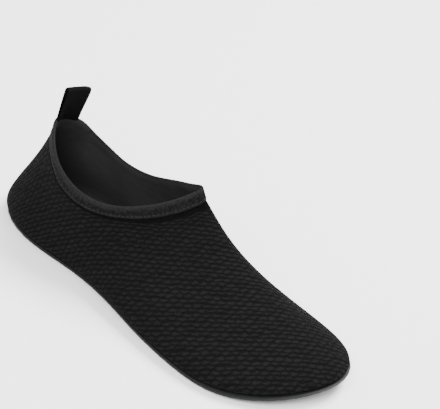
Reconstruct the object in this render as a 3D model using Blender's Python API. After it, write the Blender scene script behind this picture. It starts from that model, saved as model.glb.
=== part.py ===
"""A slip-on water shoe for the right foot, as a maker puts it together.

A knitted stretch upper is lasted over a thin insole and bonded to a flat rubber outsole. A folded
binding finishes the collar, a webbing loop stands at the back of it, and a plain patch sits low on
the heel. +X is the outer side of the foot, +Y points to the toe and +Z is up.
"""
import bpy
import bmesh
import numpy as np

# Driving sizes, in metres
LENGTH = 0.262             # bottom of the last, heel to toe
BALL_WIDTH = 0.1035        # bottom of the last across the ball of the foot
WAIST_WIDTH = 0.0665       # the same across the waist
HEEL_WIDTH = 0.0715        # the same across the heel
COLLAR_LENGTH = 0.1122     # foot opening, back to front
COLLAR_WIDTH = 0.0545      # foot opening, side to side
HEEL_LEAN = 0.0199         # the collar's back stands this far ahead of the heel
HEEL_HEIGHT = 0.0750       # the collar's back above the floor
SIDE_HEIGHT = 0.0544       # the collar's dip at the sides
THROAT_HEIGHT = 0.0806     # the collar's front, over the instep
EDGE_ROLL = 0.0090         # pull of the upper outwards where it leaves the sole
LASTING_MARGIN = 0.0075    # the upper's turned-in edge, from the last's outline inwards
WALL = 0.0018              # knitted upper with its foam and lining
GAP = 0.0003               # between two pieces that touch

# Outsole
SOLE_THICKNESS = 0.0032
SOLE_INSET = 0.0015        # the upper overhangs the outsole by this
SOLE_ROUND = 0.0028        # the outsole's rounded lower edge, in from its side
SOLE_ROUND_HEIGHT = 0.0020
TOE_SPRING = 0.0088        # the toe's underside above the floor
SPRING_START = 0.70        # share of the length where the toe starts to rise
ARCH_LIFT = 0.0010         # the plain arch lies this far above the lugs' faces
ARCH_START = 0.36          # share of the length
ARCH_END = 0.60            # share of the length
ARCH_SHARE = 0.42          # the plain arch's width, from the inner side, as a share of the sole's
ARCH_FADE = 0.08           # share of the sole's width in which the arch meets the lugs
GROOVE_DEPTH = 0.0012
GROOVE_WIDTH = 0.0012
HEEL_RING_WIDE = 0.2266    # half its width, as a share of HEEL_WIDTH
HEEL_RING_LONG = 0.0618    # half its length, as a share of LENGTH
HEEL_RING_ALONG = 0.165    # share of the length
HEEL_RING_ACROSS = 0.50    # share of the sole's width there

# Insole
INSOLE_THICKNESS = 0.0036

# Collar binding
BAND_WIDTH = 0.0076
BAND_STEP = 0.0008         # the upper's wall is thinned by this under the band
BAND_PROUD = 0.0003        # the band stands above the upper by this

# Pull loop
LOOP_WIDTH = 0.0174
LOOP_FOOT = 0.0205         # the loop's foot, spread round the collar's curve
LOOP_HEIGHT = 0.0222       # above the collar
LOOP_WEB = 0.0011          # thickness of the webbing
LOOP_FOLD = 0.0016         # inner radius of the fold at the top
LOOP_AT = -0.19            # place round the collar, in sections from the heel's back
LOOP_TWIST = -0.24         # turn of the fold against the foot, in radians
LOOP_LEAN_IN = 0.0048      # the fold leans this far towards the inner side
LOOP_LEAN_AHEAD = 0.0023   # the fold leans this far towards the toe
LOOP_CLOSED = 0.25         # the leaves' gap at the foot, as a share of the fold's

# Heel patch
PATCH_WIDTH = 0.0240
PATCH_HEIGHT = 0.0130
PATCH_THICKNESS = 0.0009
PATCH_ABOVE_SOLE = 0.0100
PATCH_AT = -0.45           # place round the heel, in sections from its back

# Fineness of the meshes
COLUMNS = 70               # sections drawn round the last
SIDE_ROWS = 10             # rows from the sole's edge to the band
ROWS_CROWDED = 1.3         # the rows lie closer together near the sole, by this power
FINE = 40                  # samples along a section, for lengths

# Sections round the last, from the heel's back by the outer side to the toe and back.
# side and along place the sole's edge: shares of the named width and of LENGTH.
# rim side and rim along place the collar: shares of COLLAR_WIDTH and COLLAR_LENGTH.
# back and front raise the collar from SIDE_HEIGHT to HEEL_HEIGHT and THROAT_HEIGHT.
# roll and belly are shares of EDGE_ROLL, rise and drop of the collar's height, reach of LENGTH.
SECTIONS = (
    # name             width        side   along  rim side/along back  front roll  belly rise  reach  drop
    ("heel back",      HEEL_WIDTH,  0.02,  0.000, -0.06, 0.00,  1.00, 0.00, 1.00, 0.10, 0.19, 0.00, 0.32),
    ("outer heel",     HEEL_WIDTH,  0.28,  0.029,  0.20, 0.05,  0.93, 0.00, 1.00, 0.15, 0.19, 0.00, 0.34),
    ("outer quarter",  HEEL_WIDTH,  0.47,  0.141,  0.44, 0.175, 0.56, 0.00, 1.00, 0.25, 0.19, -0.015, 0.38),
    ("outer shank",    WAIST_WIDTH, 0.54,  0.294,  0.54, 0.32,  0.19, 0.00, 0.95, 0.40, 0.20, -0.035, 0.42),
    ("outer waist",    WAIST_WIDTH, 0.64,  0.431,  0.55, 0.485, 0.00, 0.01, 0.88, 0.50, 0.21, -0.050, 0.43),
    ("outer joint",    BALL_WIDTH,  0.51,  0.557,  0.46, 0.64,  0.00, 0.05, 0.83, 0.58, 0.20, -0.054, 0.42),
    ("outer ball",     BALL_WIDTH,  0.58,  0.710,  0.32, 0.77,  0.00, 0.24, 0.79, 0.60, 0.18, -0.040, 0.41),
    ("little toe",     BALL_WIDTH,  0.54,  0.824,  0.16, 0.88,  0.00, 0.50, 0.75, 0.58, 0.17, -0.008, 0.42),
    ("third toe",      BALL_WIDTH,  0.37,  0.918,  0.00, 0.96,  0.00, 0.78, 0.72, 0.50, 0.16, 0.038, 0.45),
    ("second toe",     BALL_WIDTH,  0.11,  0.985, -0.11, 1.00,  0.00, 0.97, 0.72, 0.42, 0.16, 0.078, 0.52),
    ("toe tip",        BALL_WIDTH, -0.145, 1.000, -0.18, 0.985, 0.00, 1.00, 0.76, 0.34, 0.16, 0.099, 0.59),
    ("big toe",        BALL_WIDTH, -0.35,  0.949, -0.21, 0.92,  0.00, 0.86, 0.80, 0.32, 0.16, 0.094, 0.64),
    ("big toe joint",  BALL_WIDTH, -0.415, 0.855, -0.23, 0.81,  0.00, 0.67, 0.84, 0.28, 0.15, 0.058, 0.64),
    ("inner ball",     BALL_WIDTH, -0.40,  0.740, -0.27, 0.68,  0.00, 0.41, 0.90, 0.25, 0.15, 0.017, 0.59),
    ("inner joint",    BALL_WIDTH, -0.31,  0.614, -0.32, 0.55,  0.00, 0.22, 0.96, 0.24, 0.16, -0.022, 0.49),
    ("inner waist",    WAIST_WIDTH, -0.335, 0.464, -0.39, 0.405, 0.05, 0.07, 1.04, 0.25, 0.19, -0.045, 0.39),
    ("inner shank",    WAIST_WIDTH, -0.40, 0.321, -0.455, 0.265, 0.17, 0.00, 1.06, 0.22, 0.19, -0.048, 0.33),
    ("inner quarter",  HEEL_WIDTH, -0.475, 0.160, -0.43, 0.12,  0.43, 0.00, 1.02, 0.10, 0.18, -0.032, 0.29),
    ("inner heel",     HEEL_WIDTH, -0.30,  0.036, -0.285, 0.052, 0.82, 0.00, 1.00, 0.08, 0.18, -0.015, 0.29),
)
TOE_TURN = len(SECTIONS) / 2

# Chevrons of the tread, in three columns. Each row places one chevron, and those between are
# spaced evenly: start, apex and end, each as a share across the sole from its inner to its outer
# edge and a share along it. The last value is the chevron's number in its column.
CENTRE_CHEVRONS = (
    # outer arm     apex           inner arm      number
    (0.60, 0.795,  0.48, 0.806,   0.34, 0.786,   0),
    (0.66, 0.667,  0.52, 0.677,   0.38, 0.656,   4),
    (0.66, 0.560,  0.55, 0.571,   0.44, 0.552,   8),
    (0.68, 0.444,  0.60, 0.461,   0.49, 0.453,   12),
    (0.69, 0.344,  0.59, 0.365,   0.48, 0.361,   16),
    (0.69, 0.243,  0.57, 0.269,   0.41, 0.267,   20),
)
INNER_CHEVRONS = (
    (0.29, 0.803,  0.13, 0.771,   0.04, 0.788,   0),
    (0.32, 0.688,  0.18, 0.641,   0.04, 0.647,   3),
    (0.36, 0.583,  0.25, 0.557,   0.14, 0.564,   6),
    (0.40, 0.496,  0.35, 0.483,   0.30, 0.494,   9),
    (0.43, 0.401,  0.35, 0.395,   0.29, 0.406,   12),
    (0.34, 0.312,  0.21, 0.308,   0.10, 0.335,   15),
    (0.35, 0.258,  0.19, 0.243,   0.05, 0.269,   17),
)
OUTER_CHEVRONS = (
    (0.96, 0.651,  0.85, 0.641,   0.71, 0.669,   0),
    (0.95, 0.543,  0.86, 0.539,   0.72, 0.568,   3),
    (0.94, 0.446,  0.86, 0.443,   0.74, 0.470,   6),
    (0.94, 0.345,  0.88, 0.340,   0.75, 0.371,   9),
    (0.95, 0.242,  0.87, 0.239,   0.76, 0.267,   12),
    (0.95, 0.170,  0.84, 0.167,   0.75, 0.200,   14),
)
# Single grooves round the heel and the toes, as points across and along
SINGLE_GROOVES = (
    ((0.67, 0.220), (0.61, 0.237), (0.53, 0.245), (0.40, 0.245)),
    ((0.93, 0.130), (0.81, 0.133), (0.78, 0.163)),
    ((0.94, 0.090), (0.74, 0.102), (0.75, 0.122)),
    ((0.89, 0.056), (0.65, 0.071), (0.60, 0.083)),
    ((0.82, 0.030), (0.72, 0.046)),
    ((0.52, 0.060), (0.37, 0.038), (0.08, 0.053)),
    ((0.38, 0.083), (0.27, 0.079), (0.06, 0.097)),
    ((0.27, 0.120), (0.17, 0.131), (0.05, 0.146)),
    ((0.23, 0.163), (0.05, 0.186)),
    ((0.28, 0.214), (0.20, 0.203), (0.05, 0.226)),
    ((0.83, 0.958), (0.57, 0.940), (0.22, 0.956), (0.12, 0.969)),
    ((0.81, 0.940), (0.73, 0.930), (0.61, 0.928)),
    ((0.88, 0.923), (0.76, 0.905), (0.67, 0.902), (0.64, 0.915)),
    ((0.94, 0.895), (0.82, 0.872), (0.69, 0.873)),
    ((0.95, 0.855), (0.84, 0.830), (0.80, 0.833)),
    ((0.95, 0.808), (0.89, 0.792)),
    ((0.95, 0.763), (0.90, 0.746), (0.83, 0.743)),
    ((0.72, 0.785), (0.66, 0.797)),
    ((0.72, 0.751), (0.68, 0.762), (0.66, 0.778)),
    ((0.78, 0.699), (0.70, 0.714), (0.68, 0.733)),
    ((0.93, 0.692), (0.93, 0.720)),
    ((0.59, 0.827), (0.52, 0.834)),
    ((0.44, 0.834), (0.37, 0.820), (0.35, 0.834)),
    ((0.47, 0.916), (0.40, 0.916), (0.35, 0.931), (0.27, 0.940), (0.18, 0.931), (0.05, 0.942)),
    ((0.12, 0.884), (0.04, 0.896)),
    ((0.18, 0.828), (0.13, 0.823), (0.04, 0.844)),
)
# Toe pads: across, along, half width as a share of BALL_WIDTH, half length as a share of LENGTH
TOE_PADS = (
    (0.26, 0.882, 0.083, 0.044),
    (0.54, 0.880, 0.064, 0.031),
    (0.70, 0.835, 0.050, 0.027),
    (0.80, 0.781, 0.046, 0.026),
    (0.86, 0.707, 0.037, 0.024),
)


def closed_spline(rows, turn):
    """A smooth closed curve through the rows, which lie one unit of turn apart."""
    count = len(rows)
    bend = np.roll(rows, -1, 0) - 2 * rows + np.roll(rows, 1, 0)
    unit = np.eye(count)
    second = np.linalg.solve(4 * unit + np.roll(unit, 1, 0) + np.roll(unit, -1, 0), 6 * bend)
    here = np.floor(turn).astype(int) % count
    after = (here + 1) % count
    ahead = (turn - np.floor(turn))[..., None]
    behind = 1 - ahead
    curve = (behind ** 3 - behind) * second[here] + (ahead ** 3 - ahead) * second[after]
    return behind * rows[here] + ahead * rows[after] + curve / 6


def open_spline(numbers, values, at):
    """A smooth open curve through values given at rising numbers, read at other numbers."""
    slopes = np.gradient(values, numbers, axis=0)
    here = np.clip(np.searchsorted(numbers, at, side="right") - 1, 0, len(numbers) - 2)
    span = (numbers[here + 1] - numbers[here])[:, None]
    f = ((at - numbers[here])[:, None]) / span
    start, end = values[here], values[here + 1]
    rise_in, rise_out = slopes[here] * span, slopes[here + 1] * span
    return ((2 * f ** 3 - 3 * f ** 2 + 1) * start + (f ** 3 - 2 * f ** 2 + f) * rise_in
            + (3 * f ** 2 - 2 * f ** 3) * end + (f ** 3 - f ** 2) * rise_out)


def section_lengths():
    """The table's shares as lengths, one row for each section."""
    rows = []
    for (_, width, side, along, rim_side, rim_along, back, front,
         roll, belly, rise, reach, drop) in SECTIONS:
        rim = SIDE_HEIGHT + (HEEL_HEIGHT - SIDE_HEIGHT) * back + (THROAT_HEIGHT - SIDE_HEIGHT) * front
        rows.append((width * side, LENGTH * along,
                     COLLAR_WIDTH * rim_side, HEEL_LEAN + COLLAR_LENGTH * rim_along, rim,
                     EDGE_ROLL * roll, EDGE_ROLL * belly, rim * rise, LENGTH * reach, rim * drop))
    return np.array(rows)


LENGTHS = section_lengths()


def toe_rise(y):
    """How far the toe spring lifts the sole at y."""
    ahead = np.clip((y / LENGTH - SPRING_START) / (1 - SPRING_START), 0, None)
    return TOE_SPRING * ahead ** 2


def sole_top(y):
    """Height of the outsole's upper face."""
    return SOLE_THICKNESS + toe_rise(y)


def sole_edge(turn, inset=0.0):
    """The sole's outline in plan, moved inwards by inset, with its outward direction."""
    rows = closed_spline(LENGTHS, turn)[..., :2]
    step = 0.05
    along = closed_spline(LENGTHS, turn + step)[..., :2] - closed_spline(LENGTHS, turn - step)[..., :2]
    out = np.stack([along[..., 1], -along[..., 0]], -1)
    out /= np.linalg.norm(out, axis=-1, keepdims=True)
    return rows - out * inset, out


def last_point(turn, share):
    """A point on the upper's outer face: share 0 is the lasting margin, share 1 the rim."""
    rows = closed_spline(LENGTHS, turn)
    plan, out = sole_edge(turn)
    rim = rows[..., 2:5]
    level = np.zeros_like(plan[..., :1])
    up = np.array([0.0, 0.0, 1.0])

    def seat(outwards):
        point = plan + out * outwards
        return np.concatenate([point, sole_top(point[..., 1:]) + GAP], -1)

    inwards = rim - seat(0)
    inwards[..., 2] = 0
    inwards /= np.linalg.norm(inwards, axis=-1, keepdims=True)
    controls = (seat(-LASTING_MARGIN),
                seat(rows[..., 5:6]),
                seat(0) + np.concatenate([out * rows[..., 6:7], level], -1) + up * rows[..., 7:8],
                rim - inwards * rows[..., 8:9] - up * rows[..., 9:10],
                rim)
    f = share[..., None]
    weights = ((1 - f) ** 4, 4 * (1 - f) ** 3 * f, 6 * (1 - f) ** 2 * f ** 2, 4 * (1 - f) * f ** 3, f ** 4)
    return sum(w * c for w, c in zip(weights, controls))


def skin(turn, share, depth):
    """A point at a depth under the upper's outer face; a negative depth stands proud of it."""
    turn, share = np.broadcast_arrays(np.asarray(turn, float), np.asarray(share, float))
    step = 0.01
    low, high = np.clip(share - step, 0, 1), np.clip(share + step, 0, 1)
    around = last_point(turn + step, share) - last_point(turn - step, share)
    upwards = last_point(turn, high) - last_point(turn, low)
    normal = np.cross(around, upwards)
    normal /= np.linalg.norm(normal, axis=-1, keepdims=True)
    return last_point(turn, share) - normal * np.asarray(depth)[..., None]


def share_at(turn, distance, from_rim=True):
    """The share of each section that lies at a distance along it, from its rim or its foot."""
    shares = np.linspace(0, 1, FINE)
    points = last_point(turn[:, None] + 0 * shares, shares + 0 * turn[:, None])
    steps = np.linalg.norm(np.diff(points, axis=1), axis=-1)
    travelled = np.concatenate([np.zeros((len(turn), 1)), np.cumsum(steps, axis=1)], 1)
    wanted = travelled[:, -1] - distance if from_rim else np.zeros(len(turn)) + distance
    return np.array([np.interp(w, t, shares) for w, t in zip(wanted, travelled)])


def share_at_height(turn, height, depth):
    """The share of each section where the skin at a depth stands at a height over the outsole."""
    shares = np.linspace(0, 0.5, FINE)
    points = skin(turn[:, None], shares[None, :], depth)
    heights = points[..., 2] - sole_top(points[..., 1])
    return np.array([np.interp(height, h, shares) for h in heights])


def place_across(middle, share, width, count):
    """Evenly spaced turns that cover a width round the last, centred on a turn."""
    step = 0.5
    pace = np.linalg.norm(skin(middle + step, share, 0) - skin(middle - step, share, 0)) / (2 * step)
    return middle + np.linspace(-0.5, 0.5, count) * width / pace


def finish(name, bm, colour, roughness):
    """Makes an object with its own material, with its faces turned outwards."""
    bmesh.ops.recalc_face_normals(bm, faces=bm.faces)
    mesh = bpy.data.meshes.new(name)
    bm.to_mesh(mesh)
    bm.free()
    mesh.shade_smooth()
    mesh.set_sharp_from_angle(angle=0.6)
    material = bpy.data.materials.new(name)
    material.use_nodes = True
    shader = material.node_tree.nodes["Principled BSDF"]
    shader.inputs["Base Color"].default_value = (*colour, 1)
    shader.inputs["Roughness"].default_value = roughness
    shader.inputs["Metallic"].default_value = 0
    mesh.materials.append(material)
    thing = bpy.data.objects.new(name, mesh)
    bpy.context.scene.collection.objects.link(thing)
    return thing


def add_ring(bm, points):
    return [bm.verts.new(p) for p in points]


def bridge(bm, lower, upper):
    """A band of quads between two closed rings of the same count."""
    count = len(lower)
    for i in range(count):
        j = (i + 1) % count
        bm.faces.new((lower[i], lower[j], upper[j], upper[i]))


def closed_wall(rings):
    """A ring-shaped solid whose section runs through the rings and back to the first."""
    bm = bmesh.new()
    loops = [add_ring(bm, points) for points in rings]
    for lower, upper in zip(loops, loops[1:] + loops[:1]):
        bridge(bm, lower, upper)
    return bm


def cap(bm, ring, height, inner=4):
    """Closes a foot-shaped ring with rungs from its outer to its inner side."""
    half = len(ring) // 2
    previous = [ring[0]]
    for i in range(1, half + 1):
        if i == half:
            row = [ring[half]]
        else:
            start, end = ring[i].co, ring[-i].co
            row = [ring[i]]
            for k in range(1, inner):
                point = start.lerp(end, k / inner)
                point.z = height(point.x, point.y)
                row.append(bm.verts.new(point))
            row.append(ring[-i])
        longer, shorter = (row, previous) if len(row) > len(previous) else (previous, row)
        for k in range(inner):
            if len(shorter) == 1:
                bm.faces.new((longer[k], longer[k + 1], shorter[0]))
            else:
                bm.faces.new((previous[k], previous[k + 1], row[k + 1], row[k]))
        previous = row


def turns():
    return np.arange(COLUMNS) * len(SECTIONS) / COLUMNS


def side_limits(y):
    """The x of the sole's inner and outer edge at y."""
    outer = sole_edge(np.linspace(0, TOE_TURN, 200), SOLE_INSET)[0]
    inner = sole_edge(np.linspace(len(SECTIONS), TOE_TURN, 200), SOLE_INSET)[0]
    return np.interp(y, inner[:, 1], inner[:, 0]), np.interp(y, outer[:, 1], outer[:, 0])


def underside(x, y):
    """Height of the outsole's underside, which is flat at heel and ball."""
    inner, outer = side_limits(y)
    across = (x - inner) / max(outer - inner, GAP)
    middle, half = (ARCH_START + ARCH_END) / 2, (ARCH_END - ARCH_START) / 2
    steep = 3
    waist = np.clip((1 - ((y / LENGTH - middle) / half) ** 2) * steep, 0, 1)
    beside = np.clip((ARCH_SHARE - across) / ARCH_FADE, 0, 1)
    return toe_rise(y) + ARCH_LIFT * waist * beside


def on_sole(across, along):
    """A plan point from its shares across and along the sole."""
    y = along * LENGTH
    inner, outer = side_limits(y)
    return np.array([inner + (outer - inner) * across, y])


def groove(bm, points, closed=False):
    """A cutter along a line of plan points, from under the tread up to the groove's depth."""
    points = np.asarray(points)
    count = len(points)
    before, after = np.roll(points, 1, 0), np.roll(points, -1, 0)
    if not closed:
        before[0] = 2 * points[0] - points[1]
        after[-1] = 2 * points[-1] - points[-2]
    first, second = points - before, after - points
    first /= np.linalg.norm(first, axis=1, keepdims=True)
    second /= np.linalg.norm(second, axis=1, keepdims=True)
    mitre = first + second
    mitre /= np.linalg.norm(mitre, axis=1, keepdims=True)
    widen = np.stack([-mitre[:, 1], mitre[:, 0]], 1)
    widen *= GROOVE_WIDTH / 2 / np.maximum((mitre * first).sum(1), 0.5)[:, None]
    corners = []
    for point, side in zip(points, widen):
        here = []
        for sign, deep in ((-1, False), (1, False), (1, True), (-1, True)):
            x, y = point + side * sign
            z = underside(x, y) + (GROOVE_DEPTH if deep else -GROOVE_DEPTH)
            here.append(bm.verts.new((x, y, z)))
        corners.append(here)
    pairs = list(zip(corners, corners[1:])) + ([(corners[-1], corners[0])] if closed else [])
    for one, two in pairs:
        bridge(bm, one, two)
    if not closed:
        bm.faces.new(corners[0][::-1])
        bm.faces.new(corners[-1])


def chevron_column(bm, chart):
    """One column of chevrons, spaced by the chart's rows."""
    chart = np.array(chart)
    numbers = chart[:, -1]
    for row in open_spline(numbers, chart[:, :-1], np.arange(numbers[0], numbers[-1] + 1)):
        groove(bm, [on_sole(row[k], row[k + 1]) for k in (0, 2, 4)])


def oval(centre, half_width, half_length, count):
    angles = np.arange(count) * 2 * np.pi / count
    return centre + np.stack([half_width * np.cos(angles), half_length * np.sin(angles)], 1)


def tread_cutter():
    """Every groove of the tread in one cutter."""
    bm = bmesh.new()
    for chart in (CENTRE_CHEVRONS, INNER_CHEVRONS, OUTER_CHEVRONS):
        chevron_column(bm, chart)
    for line in SINGLE_GROOVES:
        groove(bm, [on_sole(across, along) for across, along in line])
    for across, along, half_width, half_length in TOE_PADS:
        groove(bm, oval(on_sole(across, along), BALL_WIDTH * half_width, LENGTH * half_length, 16), True)
    heel = on_sole(HEEL_RING_ACROSS, HEEL_RING_ALONG)
    groove(bm, oval(heel, HEEL_WIDTH * HEEL_RING_WIDE, LENGTH * HEEL_RING_LONG, 28), True)
    cutter = finish("tread_cutter", bm, (0.5, 0.1, 0.1), 0.5)
    cutter.hide_render = True
    cutter.display_type = "WIRE"
    return cutter


def make_outsole():
    """A flat rubber sole with a rounded lower edge and a cut tread."""
    bm = bmesh.new()
    rings = []
    for angle in np.radians((0, 30, 60, 90)):
        plan = sole_edge(turns(), SOLE_INSET + SOLE_ROUND * (1 - np.sin(angle)))[0]
        low = np.array([underside(x, y) for x, y in plan])
        rings.append(add_ring(bm, np.column_stack([plan, low + SOLE_ROUND_HEIGHT * (1 - np.cos(angle))])))
    rings.append(add_ring(bm, np.column_stack([plan, sole_top(plan[:, 1])])))
    for lower, upper in zip(rings, rings[1:]):
        bridge(bm, lower, upper)
    cap(bm, rings[0], underside)
    cap(bm, rings[-1], lambda x, y: sole_top(y))
    outsole = finish("outsole", bm, (0.045, 0.046, 0.048), 0.62)
    cut = outsole.modifiers.new("tread", "BOOLEAN")
    cut.object = tread_cutter()
    cut.operation = "DIFFERENCE"
    cut.solver = "EXACT"
    return outsole


def make_insole():
    """A thin foam insole: its middle sits on the outsole, its rim on the lasting margin."""
    turn = turns()
    margin = sole_edge(turn, LASTING_MARGIN + 3 * GAP)[0]
    shelf = WALL + 2 * GAP
    top = shelf + INSOLE_THICKNESS - WALL
    bm = bmesh.new()
    rings = [add_ring(bm, np.column_stack([margin, sole_top(margin[:, 1]) + level]))
             for level in (GAP, shelf)]
    for level in ((shelf + top) / 2, top):
        share = share_at_height(turn, level, WALL + GAP)
        rings.append(add_ring(bm, skin(turn, share, WALL + GAP)))
    for lower, upper in zip(rings, rings[1:]):
        bridge(bm, lower, upper)
    cap(bm, rings[0], lambda x, y: sole_top(y) + GAP)
    cap(bm, rings[-1], lambda x, y: sole_top(y) + top)
    return finish("insole", bm, (0.030, 0.031, 0.033), 0.9)


def make_upper():
    """The hollow stretch upper, open at the collar and underneath, thinned under the band."""
    turn = turns()
    band = share_at(turn, BAND_WIDTH)
    fractions = np.linspace(0, 1, SIDE_ROWS + 1) ** ROWS_CROWDED
    rings = [skin(turn, band * f, 0) for f in fractions]
    for distance in (BAND_WIDTH, BAND_WIDTH / 2, 0):
        rings.append(skin(turn, share_at(turn, distance), BAND_STEP))
    for distance in (0, BAND_WIDTH / 2):
        rings.append(skin(turn, share_at(turn, distance), WALL))
    rings += [skin(turn, band * f, WALL) for f in fractions[::-1]]
    return finish("upper", closed_wall(rings), (0.016, 0.016, 0.017), 0.85)


def make_binding():
    """The stretch binding, folded over the upper's thinned edge."""
    turn = turns()
    channel = (WALL - BAND_STEP) / 2 + GAP
    outside = WALL / 2 + BAND_STEP / 2 + BAND_PROUD
    middle = (WALL + BAND_STEP) / 2
    low = BAND_WIDTH - GAP
    rim = share_at(turn, 0.0)
    edge = skin(turn, rim, middle)
    across = skin(turn, rim, 0.0) - edge
    across /= np.linalg.norm(across, axis=1, keepdims=True)
    upwards = last_point(turn, rim) - last_point(turn, share_at(turn, BAND_WIDTH / 4))
    upwards /= np.linalg.norm(upwards, axis=1, keepdims=True)
    rings = [skin(turn, share_at(turn, d), middle - outside) for d in (low, low / 2, 0)]
    for angle in np.radians((45, 90, 135)):
        rings.append(edge + across * outside * np.cos(angle) + upwards * (GAP + outside * np.sin(angle)))
    rings += [skin(turn, share_at(turn, d), middle + outside) for d in (0, low / 2, low)]
    rings += [skin(turn, share_at(turn, d), middle + channel) for d in (low, low / 2, 0)]
    rings += [edge - across * channel + upwards * GAP, edge + across * channel + upwards * GAP]
    rings += [skin(turn, share_at(turn, d), middle - channel) for d in (0, low / 2, low)]
    return finish("collar_binding", closed_wall(rings), (0.022, 0.022, 0.023), 0.8)


def loop_profile():
    """The folded webbing seen from its side, as closed points of depth and height."""
    stem = LOOP_HEIGHT - LOOP_FOLD - LOOP_WEB
    opened = np.linspace(0, 1, 6)
    half = LOOP_FOLD * (LOOP_CLOSED + (1 - LOOP_CLOSED) * np.sin(opened * np.pi / 2) ** 2)
    front = np.column_stack([half, stem * opened])
    angles = np.radians((30, 60, 90, 120, 150))
    fold = np.column_stack([LOOP_FOLD * np.cos(angles), stem + LOOP_FOLD * np.sin(angles)])
    inner = np.concatenate([front, fold, front[::-1] * (-1, 1)])
    directions = np.gradient(inner, axis=0)
    directions /= np.linalg.norm(directions, axis=1, keepdims=True)
    outer = inner + np.stack([directions[:, 1], -directions[:, 0]], 1) * LOOP_WEB
    outer[0, 1] = outer[-1, 1] = 0
    return np.concatenate([inner, outer[::-1]])


def make_loop():
    """A strip of webbing folded in half, standing along the curve of the collar's back."""
    turn = place_across(LOOP_AT, 1.0, LOOP_FOOT, 6)
    feet = skin(turn, 1.0, (WALL + BAND_STEP) / 2)
    feet[:, 2] += (WALL + BAND_STEP) / 2 + BAND_PROUD + 2 * GAP
    chord = feet[-1] - feet[0]
    heading = np.arctan2(chord[1], chord[0]) + LOOP_TWIST
    wide = np.array([np.cos(heading), np.sin(heading), 0])
    deep = np.array([-wide[1], wide[0], 0])
    across = np.linspace(-0.5, 0.5, len(feet)) * LOOP_WIDTH
    straight = feet.mean(0) + (-LOOP_LEAN_IN, LOOP_LEAN_AHEAD, 0) + wide * across[:, None]
    profile = loop_profile()
    straightened = (profile[:, 1] / LOOP_HEIGHT)[:, None]
    bm = bmesh.new()
    sides = []
    for foot, above in zip(feet, straight):
        ring = foot * (1 - straightened) + above * straightened + deep * profile[:, :1]
        ring[:, 2] += profile[:, 1]
        sides.append(add_ring(bm, ring))
    for one, two in zip(sides, sides[1:]):
        bridge(bm, one, two)
    for ring in (sides[0], sides[-1]):
        for i in range(len(profile) // 2 - 1):
            bm.faces.new((ring[i], ring[i + 1], ring[-2 - i], ring[-1 - i]))
    return finish("pull_loop", bm, (0.012, 0.012, 0.013), 0.75)


def make_heel_patch():
    """A plain patch of soft rubber on the heel, cut between two forms around the upper."""
    rows, columns = 4, 8
    middle = np.array([PATCH_AT])
    foot = share_at(middle, LASTING_MARGIN + PATCH_ABOVE_SOLE, False)[0]
    head = share_at(middle, LASTING_MARGIN + PATCH_ABOVE_SOLE + PATCH_HEIGHT, False)[0]
    share = np.linspace(foot, head, rows)
    turn = place_across(PATCH_AT, (foot + head) / 2, PATCH_WIDTH, columns)
    bm = bmesh.new()
    faces = []
    for depth in (-GAP, -GAP - PATCH_THICKNESS):
        grid = skin(turn[None, :], share[:, None], depth)
        faces.append([[bm.verts.new(p) for p in row] for row in grid])
    for layer in faces:
        for i in range(rows - 1):
            for k in range(columns - 1):
                bm.faces.new((layer[i][k], layer[i][k + 1], layer[i + 1][k + 1], layer[i + 1][k]))
    border = ([(0, k) for k in range(columns)] + [(i, columns - 1) for i in range(1, rows)]
              + [(rows - 1, k) for k in range(columns - 2, -1, -1)] + [(i, 0) for i in range(rows - 2, 0, -1)])
    rings = [[layer[i][k] for i, k in border] for layer in faces]
    bridge(bm, rings[0], rings[1])
    return finish("heel_patch", bm, (0.02, 0.02, 0.021), 0.5)


def centre_on_floor(things):
    """Moves the shoe so that the origin lies under the middle of its box, on the floor."""
    bpy.context.view_layer.update()
    corners = np.array([thing.matrix_world @ v.co for thing in things for v in thing.data.vertices])
    middle = (corners.min(0) + corners.max(0)) / 2
    for thing in bpy.context.scene.objects:
        thing.location = (-middle[0], -middle[1], 0)


def main():
    for thing in list(bpy.data.objects):
        bpy.data.objects.remove(thing, do_unlink=True)
    things = [make_outsole(), make_insole(), make_upper(), make_binding(), make_loop(), make_heel_patch()]
    centre_on_floor(things)


main()
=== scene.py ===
# %% [markdown]
# # Dressing a slip-on water shoe
#
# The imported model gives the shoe's solids: a knitted upper, its collar binding, a pull loop, an
# insole, a rubber outsole and a small patch on the heel. This lesson puts cloth, rubber and thread
# on them, one piece at a time, and sets the shoe on a pale studio floor.

import math

import bmesh
import bpy
from mathutils import Matrix, Vector, noise
from mathutils.bvhtree import BVHTree
from mathutils.kdtree import KDTree


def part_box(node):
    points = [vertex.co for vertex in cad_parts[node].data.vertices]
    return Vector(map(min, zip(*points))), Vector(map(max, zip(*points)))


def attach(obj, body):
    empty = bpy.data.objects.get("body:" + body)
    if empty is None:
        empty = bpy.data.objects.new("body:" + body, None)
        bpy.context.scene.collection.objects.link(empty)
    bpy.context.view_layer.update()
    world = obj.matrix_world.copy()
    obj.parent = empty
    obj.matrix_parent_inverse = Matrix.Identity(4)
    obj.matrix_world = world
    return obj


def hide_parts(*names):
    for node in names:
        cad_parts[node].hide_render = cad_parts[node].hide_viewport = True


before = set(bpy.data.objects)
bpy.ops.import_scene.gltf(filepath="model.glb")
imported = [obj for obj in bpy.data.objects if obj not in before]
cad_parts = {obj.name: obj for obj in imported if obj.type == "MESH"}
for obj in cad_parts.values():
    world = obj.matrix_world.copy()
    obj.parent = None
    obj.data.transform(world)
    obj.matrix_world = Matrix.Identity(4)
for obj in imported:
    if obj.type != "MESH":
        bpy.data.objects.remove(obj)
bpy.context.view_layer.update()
print("nodes:", ", ".join(sorted(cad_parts)))

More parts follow.
